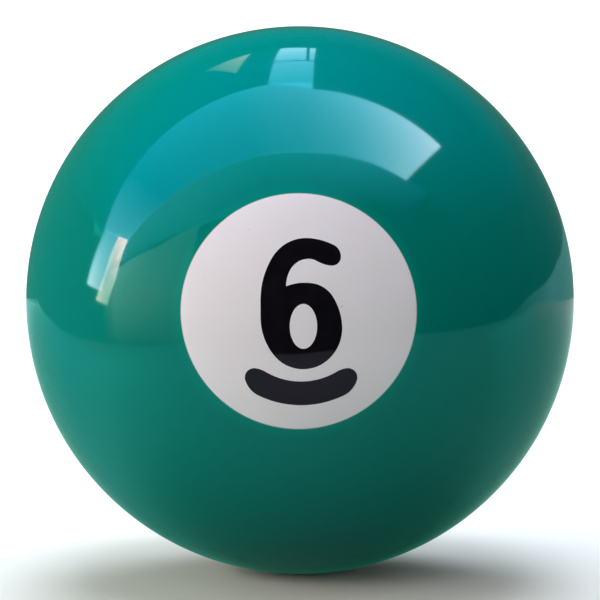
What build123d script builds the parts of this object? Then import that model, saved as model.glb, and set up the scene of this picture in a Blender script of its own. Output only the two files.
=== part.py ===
from build123d import *
import os

# A pool ball: a sphere of coloured resin, with a round white number disc let into it on two
# opposite sides. Each disc carries an inlaid black numeral, and below it a curved underline that
# shows which way up the numeral is read. Every piece ends flush in the one spherical surface.
#
# Millimetres. The origin is the ball's centre, +Z is up, and the front number faces -Y.

BALL_DIAMETER = 57.15
BALL_RADIUS = BALL_DIAMETER / 2

# The number disc is a round plug in a pocket with a flat floor and a rounded bottom corner.
# Depths are measured from the top of the ball's dome at the middle of the disc.
DISC_RADIUS = 11.0
POCKET_DEPTH = 6.0
POCKET_CORNER = 1.0
POCKET_FLOOR = BALL_RADIUS - POCKET_DEPTH

# The numeral and its underline fill flat-bottomed recesses in the disc.
INLAY_DEPTH = 3.5
INLAY_FLOOR = BALL_RADIUS - INLAY_DEPTH

# An extrusion from a floor inside the ball that runs this far comes out of the ball's surface.
PAST_THE_SURFACE = BALL_RADIUS

# Outlines are drawn with x to the right and y up from the middle of the disc.
#
# The numeral has a straight stem, then tangent arcs over the crown, round its tip and back under
# it to the crotch, and tangent arcs round the bowl to the stem's foot. Its counter is an ellipse.
STEM_FOOT = (-3.5, -0.6)
STEM_TOP = (-3.5, 1.2)
CROWN_STOPS = [(-2.4, 5.1), (1.0, 6.83), (3.25, 6.2)]
TIP_STOPS = [(3.9, 5.05), (3.05, 4.3)]
UNDER_CROWN_STOPS = [(1.75, 4.7), (0.85, 4.93), (-0.75, 3.95)]
CROTCH = (-1.15, 2.4)
CROTCH_HEADING = (0.93, 0.37)
BOWL_STOPS = [(1.2, 2.7), (3.2, 1.4), (4.02, -1.25), (2.65, -4.45), (0.45, -5.27), (-2.25, -4.0)]
COUNTER_CENTRE = (0.45, -1.29)
COUNTER_HALF_WIDTH = 1.27
COUNTER_HALF_HEIGHT = 2.08

# The underline is a crescent with rounded ends. Its right half is drawn and then mirrored.
UNDERLINE_MIDDLE = 0.23
CRESCENT_BOTTOM = (UNDERLINE_MIDDLE, -8.68)
CRESCENT_END_STOPS = [(4.2, -7.77), (5.41, -6.32), (4.43, -5.2), (3.42, -5.58)]
CRESCENT_TOP = (UNDERLINE_MIDDLE, -6.43)
RIGHTWARDS = (1, 0)

# Each number is drawn on a plane through the ball's centre that faces out through its disc.
NUMBER_PLANES = {
    "front": Plane(origin=(0, 0, 0), x_dir=(1, 0, 0), z_dir=(0, -1, 0)),
    "back": Plane(origin=(0, 0, 0), x_dir=(-1, 0, 0), z_dir=(0, 1, 0)),
}

# Turns the ball so that its poles lie on the number axis, where the pockets take them away.
POLES_ON_Y = (90, 0, 0)


def tangent_arcs(start, heading, stops):
    """Draw arcs end to end through the stops, each leaving the way the last one arrived."""
    for stop in stops:
        arc = TangentArc(start, stop, tangent=heading)
        start = arc @ 1
        heading = arc % 1


def write(part, label):
    """Label a finished piece and write it to its own STEP file."""
    part.label = label
    export_step(part, f"parts/{label}.step")


os.makedirs("parts", exist_ok=True)

# The two outlines, flat. Every recess and inlay is extruded from them.
with BuildSketch() as numeral_outline:
    with BuildLine():
        stem = Line(STEM_FOOT, STEM_TOP)
        tangent_arcs(stem @ 1, stem % 1, CROWN_STOPS + TIP_STOPS + UNDER_CROWN_STOPS + [CROTCH])
        tangent_arcs(CROTCH, CROTCH_HEADING, BOWL_STOPS + [STEM_FOOT])
    make_face()
    with Locations(COUNTER_CENTRE):
        Ellipse(COUNTER_HALF_WIDTH, COUNTER_HALF_HEIGHT, mode=Mode.SUBTRACT)

with BuildSketch() as underline_outline:
    with BuildLine():
        tangent_arcs(CRESCENT_BOTTOM, RIGHTWARDS, CRESCENT_END_STOPS)
        TangentArc(CRESCENT_TOP, CRESCENT_END_STOPS[-1], tangent=RIGHTWARDS)
        mirror(about=Plane.YZ.offset(UNDERLINE_MIDDLE))
    make_face()

# The coloured ball, one solid casting with a pocket for each number disc.
with BuildPart() as ball_body:
    Sphere(BALL_RADIUS, rotation=POLES_ON_Y)
    for plane in NUMBER_PLANES.values():
        with BuildSketch(plane.offset(POCKET_FLOOR)):
            Circle(DISC_RADIUS)
        extrude(amount=PAST_THE_SURFACE, mode=Mode.SUBTRACT)
    fillet(ball_body.faces().filter_by(GeomType.PLANE).edges(), POCKET_CORNER)
write(ball_body.part, "ball_body")

for side, plane in NUMBER_PLANES.items():
    # The white plug, cut open where the black inlays lie.
    with BuildPart() as number_disc:
        with BuildSketch(plane.offset(POCKET_FLOOR)):
            Circle(DISC_RADIUS)
        extrude(amount=PAST_THE_SURFACE)
        underside = number_disc.faces().sort_by(Axis(plane.origin, plane.z_dir))[0]
        fillet(underside.edges(), POCKET_CORNER)
        Sphere(BALL_RADIUS, mode=Mode.INTERSECT)
        with BuildSketch(plane.offset(INLAY_FLOOR)):
            add(numeral_outline.sketch)
            add(underline_outline.sketch)
        extrude(amount=PAST_THE_SURFACE, mode=Mode.SUBTRACT)
    write(number_disc.part, f"number_disc_{side}")

    # The black inlays, domed like the ball where they meet its surface.
    with BuildPart() as numeral:
        with BuildSketch(plane.offset(INLAY_FLOOR)):
            add(numeral_outline.sketch)
        extrude(amount=PAST_THE_SURFACE)
        Sphere(BALL_RADIUS, mode=Mode.INTERSECT)
    write(numeral.part, f"numeral_{side}")

    with BuildPart() as underline:
        with BuildSketch(plane.offset(INLAY_FLOOR)):
            add(underline_outline.sketch)
        extrude(amount=PAST_THE_SURFACE)
        Sphere(BALL_RADIUS, mode=Mode.INTERSECT)
    write(underline.part, f"underline_{side}")
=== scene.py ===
import math

import bpy
from mathutils import Matrix, Vector
from mathutils.geometry import delaunay_2d_cdt


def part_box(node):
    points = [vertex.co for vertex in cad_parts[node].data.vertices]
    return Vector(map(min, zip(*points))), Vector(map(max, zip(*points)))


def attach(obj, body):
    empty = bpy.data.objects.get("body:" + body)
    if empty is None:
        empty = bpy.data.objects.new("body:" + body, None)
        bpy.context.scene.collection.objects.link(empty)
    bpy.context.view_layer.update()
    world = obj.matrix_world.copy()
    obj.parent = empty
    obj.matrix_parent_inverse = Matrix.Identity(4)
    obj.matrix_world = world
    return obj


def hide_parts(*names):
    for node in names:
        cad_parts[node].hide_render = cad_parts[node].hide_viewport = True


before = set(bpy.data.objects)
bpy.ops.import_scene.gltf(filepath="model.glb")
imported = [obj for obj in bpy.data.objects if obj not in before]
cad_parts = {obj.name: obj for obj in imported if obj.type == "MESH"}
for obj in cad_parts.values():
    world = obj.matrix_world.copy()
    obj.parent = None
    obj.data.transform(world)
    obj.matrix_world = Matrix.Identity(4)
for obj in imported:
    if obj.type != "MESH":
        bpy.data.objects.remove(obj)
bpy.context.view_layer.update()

# ---------------------------------------------------------------------------
# Sizes, read from the frame. Metres.
# ---------------------------------------------------------------------------

BALL_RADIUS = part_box("ball_body")[1].z
DISC_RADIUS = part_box("number_disc_front")[1].x
POCKET_FLOOR = -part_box("number_disc_front")[1].y
INLAY_FLOOR = -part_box("numeral_front")[1].y
POCKET_CORNER = 0.001

# How finely the meshes are cut.
TURN_STEPS = 288
RING_STEPS = 144
CORNER_STEPS = 6
LATTICE = 0.0006
LATTICE_CLEARANCE = 0.6 * LATTICE
OUTLINE_STEP = 0.0003
SHARP_ANGLE = math.radians(30)

# Lengths below these count as nothing: in the triangulation, and in a comparison of two places.
TINY = 1e-8
SAME_PLACE = 1e-6
KEY_DIGITS = 9

# A side's own axes are u to the right, v up, and w out along the number axis.
SIDES = {
    "front": Matrix(((1, 0, 0), (0, 0, -1), (0, 1, 0))).to_4x4(),
    "back": Matrix(((-1, 0, 0), (0, 0, 1), (0, 1, 0))).to_4x4(),
}


# ---------------------------------------------------------------------------
# Outlines of the number, and one triangulation that its pieces share
# ---------------------------------------------------------------------------

def circle(radius):
    """Points round a circle in a side's plane, counter-clockwise."""
    angles = [2 * math.pi * i / TURN_STEPS for i in range(TURN_STEPS)]
    return [Vector((radius * math.cos(a), radius * math.sin(a))) for a in angles]


def outline_loops(node, to_ball):
    """The closed outlines of a CAD inlay's flat floor, in its side's plane, longest first."""
    to_side = to_ball.inverted()
    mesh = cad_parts[node].data
    points = [to_side @ v.co for v in mesh.vertices]
    floor = min(p.z for p in points)
    keys = [(round(p.x, 8), round(p.y, 8)) for p in points]
    uses = {}
    for polygon in mesh.polygons:
        corners = list(polygon.vertices)
        if max(points[c].z for c in corners) - floor < SAME_PLACE:
            for a, b in zip(corners, corners[1:] + corners[:1]):
                uses.setdefault(frozenset((keys[a], keys[b])), []).append((keys[a], keys[b]))
    following = dict(pairs[0] for pairs in uses.values() if len(pairs) == 1)
    loops = []
    while following:
        start, here = following.popitem()
        loop = [Vector(start)]
        while here != start:
            loop.append(Vector(here))
            here = following.pop(here)
        loops.append(divided(loop))
    return sorted(loops, key=len, reverse=True)


def divided(loop):
    """The same closed loop, with its long straight runs cut into short ones."""
    points = []
    for a, b in zip(loop, loop[1:] + loop[:1]):
        cuts = max(1, round((b - a).length / OUTLINE_STEP))
        points += [a.lerp(b, i / cuts) for i in range(cuts)]
    return points


def inside(point, loop):
    """Whether a point lies inside a closed loop."""
    hit = False
    for a, b in zip(loop, loop[1:] + loop[:1]):
        if (a.y > point.y) != (b.y > point.y):
            if point.x < (b.x - a.x) * (point.y - a.y) / (b.y - a.y) + a.x:
                hit = not hit
    return hit


def lattice_points(loops):
    """An even triangular lattice over the disc, kept clear of the rim and of every outline."""
    drawn = [p for loop in loops for p in loop]
    row_height = LATTICE * math.sqrt(3) / 2
    rows = int(DISC_RADIUS / row_height) + 1
    points = []
    for j in range(-rows, rows + 1):
        for i in range(-rows - 1, rows + 2):
            p = Vector(((i + 0.5 * (j % 2)) * LATTICE, j * row_height))
            if p.length < DISC_RADIUS - LATTICE_CLEARANCE:
                if min((p - q).length_squared for q in drawn) > LATTICE_CLEARANCE ** 2:
                    points.append(p)
    return points


def lay_out_number():
    """Triangulate the whole disc once, and sort the triangles by the piece they belong to."""
    rim = circle(DISC_RADIUS)
    outer, counter = outline_loops("numeral_front", SIDES["front"])
    underline, = outline_loops("underline_front", SIDES["front"])
    loops = [rim, outer, counter, underline]
    points, edges = [], []
    for loop in loops:
        first = len(points)
        points += loop
        edges += [(first + i, first + (i + 1) % len(loop)) for i in range(len(loop))]
    points += lattice_points(loops)
    points, _, triangles, *_ = delaunay_2d_cdt(points, edges, [], 0, TINY)
    regions = {"number_disc": [], "numeral": [], "underline": []}
    for a, b, c in triangles:
        middle = (points[a] + points[b] + points[c]) / 3
        turns_left = (points[b] - points[a]).cross(points[c] - points[a]) > 0
        corners = (a, b, c) if turns_left else (a, c, b)
        if inside(middle, underline):
            regions["underline"].append(corners)
        elif inside(middle, outer) and not inside(middle, counter):
            regions["numeral"].append(corners)
        else:
            regions["number_disc"].append(corners)
    return points, regions


# ---------------------------------------------------------------------------
# Solids. Each has its domed faces, which lie in the ball's surface, and its hidden faces.
# ---------------------------------------------------------------------------

class Solid:
    """Points and faces gathered in a side's own axes."""

    def __init__(self):
        self.points, self.numbers, self.domed, self.hidden = [], {}, [], []

    def at(self, u, v, w):
        """The number of the point at this place, which is added if it is new."""
        key = tuple(round(length, KEY_DIGITS) for length in (u, v, w))
        if key not in self.numbers:
            self.numbers[key] = len(self.points)
            self.points.append(Vector((u, v, w)))
        return self.numbers[key]

    def top(self, p):
        """The number of the point of the ball's surface over this place."""
        return self.at(p.x, p.y, math.sqrt(BALL_RADIUS ** 2 - p.length_squared))

    def wall(self, a, b, floor):
        """A wall below the surface edge from a to b. It faces right as seen going from a to b."""
        self.hidden.append((self.top(a), self.at(*a, floor), self.at(*b, floor), self.top(b)))


def border(triangles):
    """The directed edges that bound a region."""
    edges = {(t[i], t[(i + 1) % 3]) for t in triangles for i in range(3)}
    return [(a, b) for a, b in edges if (b, a) not in edges]


def inlay_solid(points, triangles):
    """A piece with vertical sides, a flat floor and a domed top."""
    solid = Solid()
    for t in triangles:
        solid.domed.append([solid.top(points[i]) for i in t])
        solid.hidden.append([solid.at(*points[i], INLAY_FLOOR) for i in reversed(t)])
    for a, b in border(triangles):
        solid.wall(points[a], points[b], INLAY_FLOOR)
    return solid


def plug_profile():
    """Radius and height down the plug's side: the straight wall, then its rounded bottom corner."""
    profile = []
    for i in range(CORNER_STEPS + 1):
        turn = 0.5 * math.pi * i / CORNER_STEPS
        radius = DISC_RADIUS - POCKET_CORNER * (1 - math.cos(turn))
        profile.append((radius, POCKET_FLOOR + POCKET_CORNER * (1 - math.sin(turn))))
    return profile


def ring(solid, radius, height):
    """The numbers of the points round a circle about the axis."""
    return [solid.at(p.x, p.y, height) for p in circle(radius)]


def bridge(faces, upper, lower):
    """Faces between two rings, facing away from the axis when upper is further out along it."""
    for i in range(TURN_STEPS):
        j = (i + 1) % TURN_STEPS
        faces.append((upper[i], lower[i], lower[j], upper[j]))


def disc_solid(points, regions):
    """The plug: a domed top around the recesses, and a side and underside that fill the pocket."""
    solid = Solid()
    for t in regions["number_disc"]:
        solid.domed.append([solid.top(points[i]) for i in t])
    for t in regions["numeral"] + regions["underline"]:
        solid.hidden.append([solid.at(*points[i], INLAY_FLOOR) for i in t])
    for a, b in border(regions["number_disc"]):
        if max(points[a].length, points[b].length) < DISC_RADIUS - SAME_PLACE:
            solid.wall(points[a], points[b], INLAY_FLOOR)
    upper = [solid.top(p) for p in circle(DISC_RADIUS)]
    for radius, height in plug_profile():
        lower = ring(solid, radius, height)
        bridge(solid.hidden, upper, lower)
        upper = lower
    solid.hidden.append(upper[::-1])
    return solid


def body_solid():
    """The ball: a sphere from rim to rim, and inside each rim the wall and floor of a pocket."""
    solid = Solid()
    start = math.asin(DISC_RADIUS / BALL_RADIUS)
    upper = None
    for i in range(RING_STEPS + 1):
        turn = start + (math.pi - 2 * start) * i / RING_STEPS
        lower = ring(solid, BALL_RADIUS * math.sin(turn), BALL_RADIUS * math.cos(turn))
        if upper:
            bridge(solid.domed, upper, lower)
        else:
            front_rim = lower
        upper = lower
    for rim, out in ((front_rim, 1), (upper, -1)):
        for radius, height in plug_profile():
            inner = ring(solid, radius, out * height)
            pair = (inner, rim) if out > 0 else (rim, inner)
            bridge(solid.hidden, *pair)
            rim = inner
        solid.hidden.append(rim if out > 0 else rim[::-1])
    return solid


def make_piece(name, solid, side, node, material):
    """A mesh object that stands for one CAD node, with the ball's own normals on its domed faces."""
    to_ball = SIDES[side]
    mesh = bpy.data.meshes.new(name)
    mesh.from_pydata([to_ball @ p for p in solid.points], [], solid.domed + solid.hidden)
    mesh.polygons.foreach_set("use_smooth", [True] * len(mesh.polygons))
    mesh.set_sharp_from_angle(angle=SHARP_ANGLE)
    normals = [Vector()] * len(mesh.loops)
    for polygon in mesh.polygons[:len(solid.domed)]:
        for i in polygon.loop_indices:
            normals[i] = mesh.vertices[mesh.loops[i].vertex_index].co.normalized()
    mesh.normals_split_custom_set(normals)
    mesh.materials.append(material)
    piece = bpy.data.objects.new(name, mesh)
    bpy.context.scene.collection.objects.link(piece)
    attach(piece, "root")
    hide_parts(node)


# ---------------------------------------------------------------------------
# Materials. Object coordinates are the ball's own, in metres.
# ---------------------------------------------------------------------------

# Sizes of the features of each noise. Metres.
HAZE_SIZE = 0.02
GRAIN_SIZE = 0.0004
SCRATCH_SPACING = 0.0022
SCRATCH_PATCH_SIZE = 0.012
TEAL_DRIFT_SIZE = 0.03
TEAL_FLECK_SIZE = 0.0012
WHITE_DRIFT_SIZE = 0.006
BLACK_DRIFT_SIZE = 0.0015

# The middle of a noise's range, over which it fades from one look to the other.
DRIFT = (0.3, 0.7)

# Scratches run along the X axis after these turns, drawn out by this much.
SCRATCH_TURNS = ((0.3, 0.4, 0.9), (1.2, 0.8, 2.2))
SCRATCH_SHRINK = (0.03, 1, 1)
SCRATCH_WIDTH = 0.012
SCRATCH_PATCHES = (0.55, 0.75)

HAZE_ROUGHNESS = (0.05, 0.07)
SCRATCH_ROUGHNESS = 0.05
SCRATCH_DEPTH = 4e-7
GRAIN_HEIGHT = 4e-7

BALL_IOR = 1.58
DISC_IOR = 1.55

TEAL = (0.0, 0.218, 0.180, 1)
TEAL_DEEP = (0.0, 0.208, 0.172, 1)
TEAL_FLECK = (0.0, 0.23, 0.19, 1)
# A painted glow: lighter green just outside each disc's rim, over the width below, standing in for
# light scattered out of the white plug.
TEAL_PAINTED_GLOW = (0.0, 0.25, 0.195, 1)
TEAL_GLOSS = (0.5, 1.0, 1.0, 1)
PAINTED_GLOW_WIDTH = 0.0012
TEAL_FLECK_SHARE = 0.25
TEAL_FLECK_SPAN = (0.35, 0.65)

WHITE = (0.83, 0.777, 0.82, 1)
WHITE_WARM = (0.82, 0.76, 0.79, 1)
SPECK = (0.35, 0.30, 0.26, 1)
SPECK_SPACING = 0.0025
SPECK_STRENGTH = 0.3
SPECK_RADIUS = (0.03, 0.06)
JOINT = (0.25, 0.30, 0.28, 1)
JOINT_WIDTH = 0.00012
JOINT_SHARE = 0.5

BLACK = (0.007, 0.0055, 0.009, 1)
BLACK_GREY = (0.010, 0.0085, 0.012, 1)


class Nodes:
    """A node tree that is built a node at a time."""

    def __init__(self, tree):
        self.tree = tree
        tree.nodes.clear()

    def add(self, kind, values=None, **settings):
        """A new node. Values are sockets to link to its inputs, or constants to put in them."""
        node = self.tree.nodes.new("ShaderNode" + kind)
        for key, value in settings.items():
            setattr(node, key, value)
        for key, value in (values or {}).items():
            if isinstance(value, bpy.types.NodeSocket):
                self.tree.links.new(value, node.inputs[key])
            else:
                node.inputs[key].default_value = value
        return node

    def place(self):
        return self.add("TexCoord").outputs["Object"]

    def math(self, operation, *values):
        return self.add("Math", dict(enumerate(values)), operation=operation).outputs[0]

    def noise(self, size, detail=2.0, place=None):
        """Noise whose largest features are about this size, in metres."""
        return self.add("TexNoise", {"Vector": place or self.place(), "Scale": 1 / size,
                                     "Detail": detail}).outputs["Fac"]

    def span(self, value, low, high, to_low=0.0, to_high=1.0):
        """Map a value smoothly from one span to another, held at both ends."""
        return self.add("MapRange", {"Value": value, "From Min": low, "From Max": high,
                                     "To Min": to_low, "To Max": to_high},
                        interpolation_type="SMOOTHSTEP").outputs["Result"]

    def mix(self, factor, a, b):
        """Blend two colours. The colour sockets of the Mix node come after its other kinds."""
        return self.add("Mix", {0: factor, 6: a, 7: b}, data_type="RGBA").outputs[2]

    def from_number_axis(self):
        """Distance from the axis through the middle of both discs."""
        flat = self.add("VectorMath", {0: self.place(), 1: (1, 0, 1)}, operation="MULTIPLY")
        return self.add("VectorMath", {0: flat.outputs[0]}, operation="LENGTH").outputs["Value"]


def hairlines(nodes, turn):
    """Fine handling scratches along one direction: the ridges of a noise drawn out lengthwise."""
    turned = nodes.add("Mapping", {"Vector": nodes.place(), "Rotation": turn,
                                   "Scale": SCRATCH_SHRINK}).outputs[0]
    drawn_out = nodes.noise(SCRATCH_SPACING, place=turned)
    ridge = nodes.math("ABSOLUTE", nodes.math("SUBTRACT", drawn_out, 0.5))
    line = nodes.span(ridge, 0.0, SCRATCH_WIDTH, 1.0, 0.0)
    patches = nodes.span(nodes.noise(SCRATCH_PATCH_SIZE), *SCRATCH_PATCHES)
    return nodes.math("MULTIPLY", line, patches)


def polished(nodes, base_colour, ior, gloss_tint=(1, 1, 1, 1)):
    """A polished resin surface: nearly a mirror, with a fine grain, faint haze and hairlines."""
    scratches = nodes.math("ADD", *[hairlines(nodes, turn) for turn in SCRATCH_TURNS])
    haze = nodes.span(nodes.noise(HAZE_SIZE), *DRIFT, *HAZE_ROUGHNESS)
    roughness = nodes.math("ADD", haze, nodes.math("MULTIPLY", scratches, SCRATCH_ROUGHNESS))
    grain = nodes.noise(GRAIN_SIZE, detail=1.0)
    grained = nodes.add("Bump", {"Height": grain, "Distance": GRAIN_HEIGHT})
    scratched = nodes.add("Bump", {"Height": scratches, "Distance": SCRATCH_DEPTH,
                                   "Normal": grained.outputs[0]}, invert=True)
    shader = nodes.add("BsdfPrincipled", {"Base Color": base_colour, "Roughness": roughness,
                                          "IOR": ior, "Specular Tint": gloss_tint,
                                          "Normal": scratched.outputs[0]})
    nodes.add("OutputMaterial", {"Surface": shader.outputs[0]})


def new_material(name):
    material = bpy.data.materials.new(name)
    material.use_nodes = True
    return material, Nodes(material.node_tree)


def ball_resin():
    """Green resin, with slow drifts of colour, and a painted glow beside the white discs: lighter green
    standing in for light scattered out of the plugs.
    """
    material, nodes = new_material("ball_resin")
    colour = nodes.mix(nodes.span(nodes.noise(TEAL_DRIFT_SIZE), *DRIFT), TEAL_DEEP, TEAL)
    flecks = nodes.span(nodes.noise(TEAL_FLECK_SIZE), *TEAL_FLECK_SPAN, 0, TEAL_FLECK_SHARE)
    colour = nodes.mix(flecks, colour, TEAL_FLECK)
    # Painted glow: lighter green in a thin band outside each disc's rim, for light scattered from the
    # white plug.
    painted_glow_beside_disc = nodes.span(nodes.from_number_axis(), DISC_RADIUS, DISC_RADIUS + PAINTED_GLOW_WIDTH, 1.0, 0.0)
    colour = nodes.mix(painted_glow_beside_disc, colour, TEAL_PAINTED_GLOW)
    polished(nodes, colour, BALL_IOR, TEAL_GLOSS)
    return material


def disc_resin():
    """Off-white resin, faintly mottled, with sparse specks and a thin dark joint round its rim."""
    material, nodes = new_material("disc_resin")
    colour = nodes.mix(nodes.span(nodes.noise(WHITE_DRIFT_SIZE), *DRIFT), WHITE_WARM, WHITE)
    cells = nodes.add("TexVoronoi", {"Vector": nodes.place(), "Scale": 1 / SPECK_SPACING})
    speck = nodes.span(cells.outputs["Distance"], *SPECK_RADIUS, SPECK_STRENGTH, 0.0)
    colour = nodes.mix(speck, colour, SPECK)
    to_rim = (DISC_RADIUS - JOINT_WIDTH, DISC_RADIUS)
    joint = nodes.span(nodes.from_number_axis(), *to_rim, 0.0, JOINT_SHARE)
    colour = nodes.mix(joint, colour, JOINT)
    polished(nodes, colour, DISC_IOR)
    return material


def inlay_resin():
    """Black resin with a trace of grey in it."""
    material, nodes = new_material("inlay_resin")
    colour = nodes.mix(nodes.span(nodes.noise(BLACK_DRIFT_SIZE), *DRIFT), BLACK, BLACK_GREY)
    polished(nodes, colour, DISC_IOR)
    return material


# ---------------------------------------------------------------------------
# The ball
# ---------------------------------------------------------------------------

def make_ball():
    points, regions = lay_out_number()
    resins = {"ball": ball_resin(), "disc": disc_resin(), "inlay": inlay_resin()}
    make_piece("ball_body_cast", body_solid(), "front", "ball_body", resins["ball"])
    for side in SIDES:
        make_piece(f"number_disc_{side}_plug", disc_solid(points, regions), side,
                   f"number_disc_{side}", resins["disc"])
        for part in ("numeral", "underline"):
            make_piece(f"{part}_{side}_inlay", inlay_solid(points, regions[part]), side,
                       f"{part}_{side}", resins["inlay"])


# ---------------------------------------------------------------------------
# Studio: light panels that show only as reflections, a floor and the surroundings
# ---------------------------------------------------------------------------

PANEL_CUTS = 6


def radiant_material():
    """Gives off the radiance stored on the panel's mesh."""
    material, nodes = new_material("studio_panel")
    stored = nodes.add("Attribute", attribute_name="radiance").outputs["Color"]
    glow = nodes.add("Emission", {"Color": stored})
    clear = nodes.add("BsdfTransparent")
    both = nodes.add("AddShader", {0: glow.outputs[0], 1: clear.outputs[0]})
    nodes.add("OutputMaterial", {"Surface": both.outputs[0]})
    return material


def between(grid, s, t):
    """The value part-way along the columns and rows of a grid of vectors."""
    i = min(int(s), len(grid[0]) - 2)
    j = min(int(t), len(grid) - 2)
    near = Vector(grid[j][i]).lerp(Vector(grid[j][i + 1]), s - i)
    far = Vector(grid[j + 1][i]).lerp(Vector(grid[j + 1][i + 1]), s - i)
    return near.lerp(far, t - j)


def panel(name, points, radiances, material):
    """A light panel through a grid of points, with a radiance at each that runs on to the next."""
    columns = (len(points[0]) - 1) * PANEL_CUTS + 1
    rows = (len(points) - 1) * PANEL_CUTS + 1
    grid = [(i / PANEL_CUTS, j / PANEL_CUTS) for j in range(rows) for i in range(columns)]
    faces = [(k, k + 1, k + 1 + columns, k + columns)
             for k in range(len(grid) - columns) if k % columns < columns - 1]
    mesh = bpy.data.meshes.new(name)
    mesh.from_pydata([between(points, s, t) for s, t in grid], [], faces)
    stored = mesh.attributes.new("radiance", "FLOAT_COLOR", "POINT")
    for k, (s, t) in enumerate(grid):
        stored.data[k].color = (*between(radiances, s, t), 1)
    mesh.materials.append(material)
    made = bpy.data.objects.new(name, mesh)
    made.visible_camera = False
    made.visible_diffuse = False
    made.visible_shadow = False
    bpy.context.scene.collection.objects.link(made)


# The room, measured from the ball's centre. The ceiling is a little above its own openings.
CEILING = 0.5
PAST_OPENINGS = 1.01
LEFT_WALL = -0.8
ROOM = 1.5
SHEEN_LIFT = 0.0002


def overhead(x, y):
    """A point of a ceiling opening, given as multiples of its height above the ball's centre."""
    return (x * CEILING, y * CEILING, CEILING)


def ceiling(x, y):
    """As overhead, for the ceiling that the openings are let into, which is a little higher."""
    return (x * CEILING, y * CEILING, CEILING * PAST_OPENINGS)


def leftward(y, z):
    """A point of the opening in the left wall."""
    return (LEFT_WALL, y, z)


def ground(x, y):
    """A point of the table's sheen, just above the table."""
    return (x, y, SHEEN_LIFT - BALL_RADIUS)


def faraway(azimuth, elevation):
    """A point of the room's walls. Azimuth 0 is on the front number's side, and 90 is on +X."""
    a, e = math.radians(azimuth), math.radians(elevation)
    return (ROOM * math.sin(a) * math.cos(e), -ROOM * math.cos(a) * math.cos(e), ROOM * math.sin(e))


# The edge of the table that the ball stands on, from its near left corner on. Each point comes
# with the table's sheen there and that midway from there to the ball.
TABLE = [
    ((-0.13, -0.032), (0.15, 0.2, 0.15), (0.15, 0.7, 0.65)),
    ((-0.08, -0.092), (0.1, 0.05, 0.15), (0.1, 0.12, 0.17)),
    ((0.0, -0.10), (0.12, 0.03, 0.15), (0.2, 0.08, 0.24)),
    ((0.10, -0.125), (0.1, 0.05, 0.15), (0.1, 0.08, 0.17)),
    ((0.22, -0.062), (0, 0, 0.05), (0.05, 0.1, 0.1)),
    ((0.263, -0.035), (0, 0.1, 0.15), (0.05, 0.4, 0.4)),
    ((0.453, 0.075), (0, 0.2, 0.25), (0.15, 0.4, 0.42)),
    ((1.0, 0.4), (0.33, 0.53, 0.56), (0.42, 0.38, 0.4)),
    ((0.4, 0.741), (0.32, 0.38, 0.4), (0.33, 0.33, 0.35)),
    ((-0.649, 0.741), (0.1, 0.5, 0.5), (0.05, 0.3, 0.3)),
    ((-0.276, 0.16), (0, 0.35, 0.4), (0, 0.3, 0.3)),
    ((-0.175, 0.035), (0, 0.35, 0.4), (0, 0.4, 0.5)),
]
TABLE_ROUND = TABLE + TABLE[:1]
TABLE_MIDWAY = 0.65
TABLE_SHEEN_AT_BALL = (0, 0.1, 0.06)

# The rear wall and the rear ceiling meet at the cornice, where both have the same glow.
REAR_CORNERS = (-84, -130, -170, -190, -230, -290)
REAR_CORNICE = [faraway(azimuth, 18) for azimuth in REAR_CORNERS]
REAR_SKIRTING = [faraway(azimuth, -14) for azimuth in REAR_CORNERS]
CORNICE_GLOW = [(0.05, 0.4, 0.3), (0.05, 0.3, 0.2), (0.07, 0.2, 0.15), (0.1, 0.2, 0.15),
                (0.05, 0.1, 0.1), (0, 0, 0)]

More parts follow.
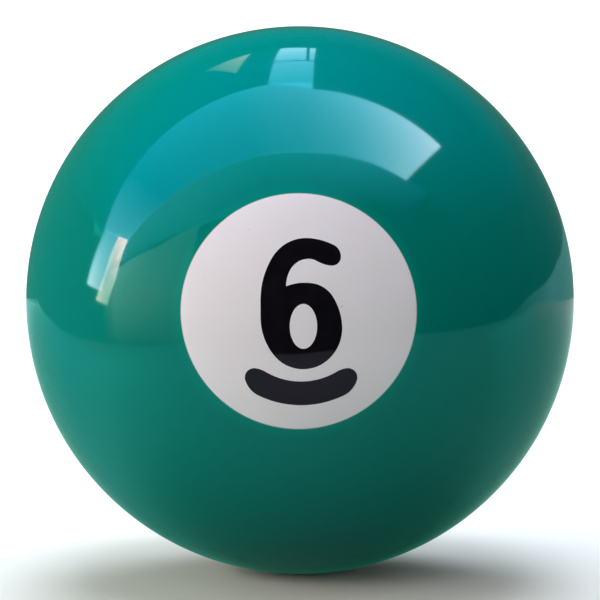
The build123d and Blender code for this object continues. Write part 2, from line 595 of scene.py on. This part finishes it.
# Each panel is rows of points, and rows of radiances (red, green, blue) at those points.
PANELS = {
    "skylight_left": (
        [[overhead(-2.86, -0.60), overhead(-1.3, -0.55), overhead(-0.3, -0.52),
          overhead(0.06, -0.52)],
         [overhead(-2.86, 0.17), overhead(-1.3, 0.17), overhead(-0.3, 0.17), overhead(0.06, 0.17)]],
        [[(1.5, 2.8, 4.0), (0.05, 1.3, 2.4), (0.2, 1.7, 2.8), (0.6, 2.3, 3.5)],
         [(1.5, 2.8, 4.0), (0.05, 1.5, 2.6), (0.3, 2.3, 3.5), (1.1, 2.9, 4.3)]]),
    "skylight_right": (
        [[overhead(0.06, -0.52), overhead(0.3, -0.51), overhead(0.55, -0.51), overhead(0.87, -0.53)],
         [overhead(0.06, 0.10), overhead(0.3, 0.10), overhead(0.6, 0.10), overhead(0.92, 0.10)]],
        [[(0.7, 2.3, 3.5), (1.2, 2.9, 4.3), (3.0, 4.0, 5.5), (6.0, 5.4, 7.0)],
         [(1.1, 2.9, 4.3), (2.5, 4.0, 5.4), (5.5, 5.4, 7.0), (8.5, 6.6, 8.4)]]),
    "skylight_lane": (
        [[overhead(-0.15, 0.17), overhead(0.06, 0.17)],
         [overhead(-0.115, 0.475), overhead(0.058, 0.475)]],
        [[(0.6, 1.9, 2.8)] * 2, [(1.0, 2.0, 2.8)] * 2]),
    "skylight_far_pane": (
        [[overhead(-0.114, 0.49), overhead(0.024, 0.49)],
         [overhead(-0.083, 0.775), overhead(0.024, 0.775)]],
        [[(1.2, 2.1, 2.9)] * 2, [(2.0, 2.4, 3.1)] * 2]),
    "skylight_far_sidelight": (
        [[overhead(0.037, 0.49), overhead(0.058, 0.49)],
         [overhead(0.037, 0.775), overhead(0.062, 0.775)]],
        [[(1.2, 2.1, 2.9)] * 2, [(2.0, 2.4, 3.1)] * 2]),
    "sunlit_beam": (
        [[overhead(-0.428, 0.70), overhead(-0.21, 0.755)],
         [overhead(-0.40, 0.66), overhead(-0.288, 0.43)]],
        [[(0.4, 0.4, 0.3), (1.9, 1.3, 0.9)], [(0.4, 0.4, 0.3), (1.1, 0.8, 0.5)]]),
    "left_blue_pane": (
        [[leftward(0.085, 0.058), leftward(0.066, 0.055), leftward(-0.05, 0.035)],
         [leftward(0.060, 0.17), leftward(0.038, 0.17), leftward(-0.09, 0.15)],
         [leftward(0.040, 0.285), leftward(0.015, 0.285), leftward(-0.11, 0.285)]],
        [[(2.0, 2.0, 2.2), (8.0, 6.5, 7.5), (5.0, 3.5, 4.0)],
         [(1.0, 1.5, 1.8), (5.0, 4.8, 6.2), (3.0, 3.0, 3.8)],
         [(0.5, 1.0, 1.4), (1.5, 2.6, 3.8), (2.0, 2.8, 4.0)]]),
    "left_bright_strip": (
        [[leftward(-0.005, 0.0), leftward(-0.098, -0.02)],
         [leftward(-0.052, 0.10), leftward(-0.152, 0.10)],
         [leftward(-0.096, 0.285), leftward(-0.173, 0.285)]],
        [[(12.0, 6.0, 4.5), (3.0, 2.6, 2.0)],
         [(5.0, 3.5, 3.5), (8.0, 4.0, 3.6)],
         [(14.0, 5.5, 5.5), (24.0, 9.0, 8.5)]]),
    "left_front_wall": (
        [[faraway(-86, -14), faraway(-80, -14), faraway(-64, -14), faraway(-45, -16)],
         [faraway(-86, 0), faraway(-80, 0), faraway(-64, 3), faraway(-45, 6)],
         [faraway(-84, 9), faraway(-79, 10.5), faraway(-62, 19.5), faraway(-45, 29.6)]],
        [[(0, 0, 0), (0.1, 0.2, 0.1), (0.2, 0.1, 0.05), (0.2, 0.2, 0.05)],
         [(0, 0.2, 0.1), (1.5, 1.4, 1.0), (1.3, 0.95, 0.65), (0.4, 0.6, 0.5)],
         [(1.2, 1.1, 1.0), (2.2, 2.0, 1.8), (0.8, 1.0, 0.9), (0.4, 0.9, 0.8)]]),
    "front_ceiling": (
        [[ceiling(-4.5, -1.20), ceiling(-1.2, -1.30), ceiling(-0.3, -1.2), ceiling(0.4, -1.1),
          ceiling(1.2, -1.0)],
         [ceiling(-4.5, -0.60), ceiling(-1.2, -0.55), ceiling(-0.3, -0.52), ceiling(0.4, -0.51),
          ceiling(1.2, -0.53)]],
        [[(0.1, 0.5, 0.5), (0.1, 0.9, 1.0), (0.05, 0.1, 0.3), (0.05, 0.1, 0.2), (0, 0, 0.1)],
         [(1.0, 1.7, 2.0), (0.4, 1.2, 1.6), (0.15, 1.4, 1.8), (0.3, 1.4, 2.1), (0.05, 0.2, 0.6)]]),
    "rear_ceiling": (
        [[ceiling(-3.3, 0.17), ceiling(-1.2, 0.17), ceiling(-0.15, 0.17), ceiling(0.06, 0.10),
          ceiling(0.92, 0.10), ceiling(0.88, -0.53)],
         [ceiling(-3.2, 0.5), ceiling(-1.2, 0.9), ceiling(-0.2, 0.9), ceiling(0.2, 0.9),
          ceiling(1.4, 0.7), ceiling(1.8, -0.6)],
         REAR_CORNICE],
        [[(0, 0.6, 0.7), (0, 0.9, 1.2), (0, 1.0, 1.4), (0, 0.9, 1.3), (0, 0.5, 0.7), (0, 0.3, 0.5)],
         [(0.04, 0.5, 0.4), (0.03, 0.55, 0.5), (0, 0.5, 0.5), (0, 0.45, 0.5), (0, 0.3, 0.35),
          (0, 0.1, 0.1)],
         CORNICE_GLOW]),
    "rear_wall": (
        [REAR_SKIRTING, REAR_CORNICE],
        [[(0.06, 0.4, 0.3), (0.06, 0.35, 0.3), (0.08, 0.25, 0.2), (0.1, 0.2, 0.15), (0, 0.05, 0.05),
          (0, 0, 0)],
         CORNICE_GLOW]),
    "right_rear_wall": (
        [[faraway(175, -14), faraway(152, -14), faraway(131, -14), faraway(127, -14), faraway(108, -18),
          faraway(90, -20)],
         [faraway(175, 2), faraway(152, 4.2), faraway(135, 4.3), faraway(127, 3), faraway(108, 0.5),
          faraway(90, -6)]],
        [[(0, 0, 0), (0.1, 0.2, 0.2), (0.2, 0.35, 0.38), (0.3, 0.5, 0.53), (0.2, 0.35, 0.38),
          (0.05, 0.07, 0.07)]] * 2),
    "table_sheen": (
        [[ground(x * share, y * share) for (x, y), _, _ in TABLE_ROUND]
         for share in (1, TABLE_MIDWAY, 0)],
        [[edge for _, edge, _ in TABLE_ROUND],
         [midway for _, _, midway in TABLE_ROUND],
         [TABLE_SHEEN_AT_BALL] * len(TABLE_ROUND)]),
}


# The floor that the camera sees, the table that the ball mirrors, and what lies beyond them.
FLOOR_COLOUR = (0.95, 0.89, 0.82, 1)
FLOOR_FADE_START = 0.15
FLOOR_FADE_END = 0.8
FLOOR_HALF = 1.0
TABLE_COLOUR = (0.18, 0.28, 0.22, 1)
TABLE_GAP = 0.0003
TABLE_GRAIN_SIZE = 0.05
TABLE_GRAIN_SPAN = (0.98, 1.0)
SURROUNDINGS_DIM = (0.19, 0.19, 0.20, 1)
SURROUNDINGS_WHITE = (1.0, 1.0, 1.0, 1)

CONTRAST = 1.15
EXPOSURE = 0.32

WARM = (1.0, 0.95, 0.92)
COOL = (0.82, 0.96, 1.14)
NEUTRAL = (1.0, 1.0, 1.0)

# Wide soft lights with no reflection of their own: place, power and tint.
FILL_LIGHTS = {
    "fill_left_front": ((-0.5, -0.5, 0.15), 2.45, WARM),
    "fill_left": ((-0.7, -0.05, 0.15), 1.6, WARM),
    "fill_left_rear": ((-0.5, 0.5, 0.15), 1.2, NEUTRAL),
    "fill_right_front": ((0.6, -0.4, 0.05), 0.8, NEUTRAL),
    "fill_top": ((0.0, 0.0, 0.7), 1.95, COOL),
    "fill_top_rear": ((0.0, 0.5, 0.5), 2.25, COOL),
    "fill_top_right": ((0.5, 0.0, 0.5), 0.4, COOL),
}
FILL_SIZE = 0.4


def diffuse_material(name, colour):
    """Matt, with a faint unevenness."""
    material, nodes = new_material(name)
    grain = nodes.span(nodes.noise(TABLE_GRAIN_SIZE), *DRIFT, *TABLE_GRAIN_SPAN)
    tint = nodes.mix(grain, (0, 0, 0, 1), colour)
    shader = nodes.add("BsdfDiffuse", {"Color": tint})
    nodes.add("OutputMaterial", {"Surface": shader.outputs[0]})
    return material


def flat_stage(name, outline, height, material):
    """A flat stage piece with this outline."""
    mesh = bpy.data.meshes.new(name)
    mesh.from_pydata([(x, y, height) for x, y in outline], [], [range(len(outline))])
    mesh.materials.append(material)
    made = bpy.data.objects.new(name, mesh)
    bpy.context.scene.collection.objects.link(made)
    return made


def floor_material():
    """Pale matt floor that fades into the surroundings at its edge."""
    material, nodes = new_material("floor")
    matt = nodes.add("BsdfDiffuse", {"Color": FLOOR_COLOUR})
    clear = nodes.add("BsdfTransparent")
    away = nodes.add("VectorMath", {0: nodes.place()}, operation="LENGTH").outputs["Value"]
    fade = nodes.span(away, FLOOR_FADE_START, FLOOR_FADE_END)
    both = nodes.add("MixShader", {0: fade, 1: matt.outputs[0], 2: clear.outputs[0]})
    nodes.add("OutputMaterial", {"Surface": both.outputs[0]})
    return material


def make_floor():
    """The camera sees a pale floor. The ball reflects a darker table of limited size."""
    corners = [(-FLOOR_HALF, -FLOOR_HALF), (FLOOR_HALF, -FLOOR_HALF),
               (FLOOR_HALF, FLOOR_HALF), (-FLOOR_HALF, FLOOR_HALF)]
    floor = flat_stage("floor", corners, -BALL_RADIUS, floor_material())
    floor.visible_glossy = False
    floor.visible_diffuse = False
    floor.visible_shadow = False
    table = flat_stage("reflected_table", [edge for edge, _, _ in TABLE], -BALL_RADIUS - TABLE_GAP,
                       diffuse_material("table", TABLE_COLOUR))
    table.visible_camera = False


def make_surroundings():
    """White behind the ball, and dim where the ball reflects them."""
    world = bpy.data.worlds.new("surroundings")
    world.use_nodes = True
    bpy.context.scene.world = world
    nodes = Nodes(world.node_tree)
    seen = nodes.add("LightPath").outputs["Is Camera Ray"]
    glow = nodes.add("Background", {"Color": nodes.mix(seen, SURROUNDINGS_DIM, SURROUNDINGS_WHITE)})
    nodes.add("OutputWorld", {"Surface": glow.outputs[0]})
    world.cycles_visibility.glossy = False


def fill_light(name, place, power, tint):
    """A square soft light aimed at the ball. It shades the ball but isn't mirrored in it."""
    light = bpy.data.lights.new(name, "AREA")
    light.size = FILL_SIZE
    light.energy = power
    light.color = tint
    lamp = bpy.data.objects.new(name, light)
    lamp.location = place
    lamp.rotation_euler = (-Vector(place)).to_track_quat("-Z", "Y").to_euler()
    lamp.visible_glossy = False
    lamp.visible_camera = False
    bpy.context.scene.collection.objects.link(lamp)


def make_studio():
    """Everything round the ball, and how the picture is developed."""
    glow = radiant_material()
    for name, (corners, radiances) in PANELS.items():
        panel(name, corners, radiances, glow)
    for name, settings in FILL_LIGHTS.items():
        fill_light(name, *settings)
    make_floor()
    make_surroundings()
    view = bpy.context.scene.view_settings
    view.view_transform = "Standard"
    view.gamma = 1 / CONTRAST
    view.exposure = EXPOSURE


# ---------------------------------------------------------------------------
# Camera
# ---------------------------------------------------------------------------

CAMERA_DISTANCE = 8 * BALL_RADIUS
CAMERA_ELEVATION = math.radians(2.3)
CAMERA_SWING = math.radians(0.27)
OUTLINE_SHARE = 0.4565
SENSOR_WIDTH = 36.0
NEAREST_SEEN = 0.01


def make_camera():
    """Looks at the ball's centre. The ball's outline radius is a set share of the image width."""
    data = bpy.data.cameras.new("camera")
    outline_slope = BALL_RADIUS / math.sqrt(CAMERA_DISTANCE ** 2 - BALL_RADIUS ** 2)
    data.sensor_width = SENSOR_WIDTH
    data.lens = OUTLINE_SHARE * SENSOR_WIDTH / outline_slope
    data.clip_start = NEAREST_SEEN
    camera = bpy.data.objects.new("camera", data)
    level = math.cos(CAMERA_ELEVATION)
    camera.location = CAMERA_DISTANCE * Vector((math.sin(CAMERA_SWING) * level,
                                                -math.cos(CAMERA_SWING) * level,
                                                math.sin(CAMERA_ELEVATION)))
    camera.rotation_euler = (-camera.location).to_track_quat("-Z", "Y").to_euler()
    bpy.context.scene.collection.objects.link(camera)
    bpy.context.scene.camera = camera


make_camera()
make_ball()
make_studio()
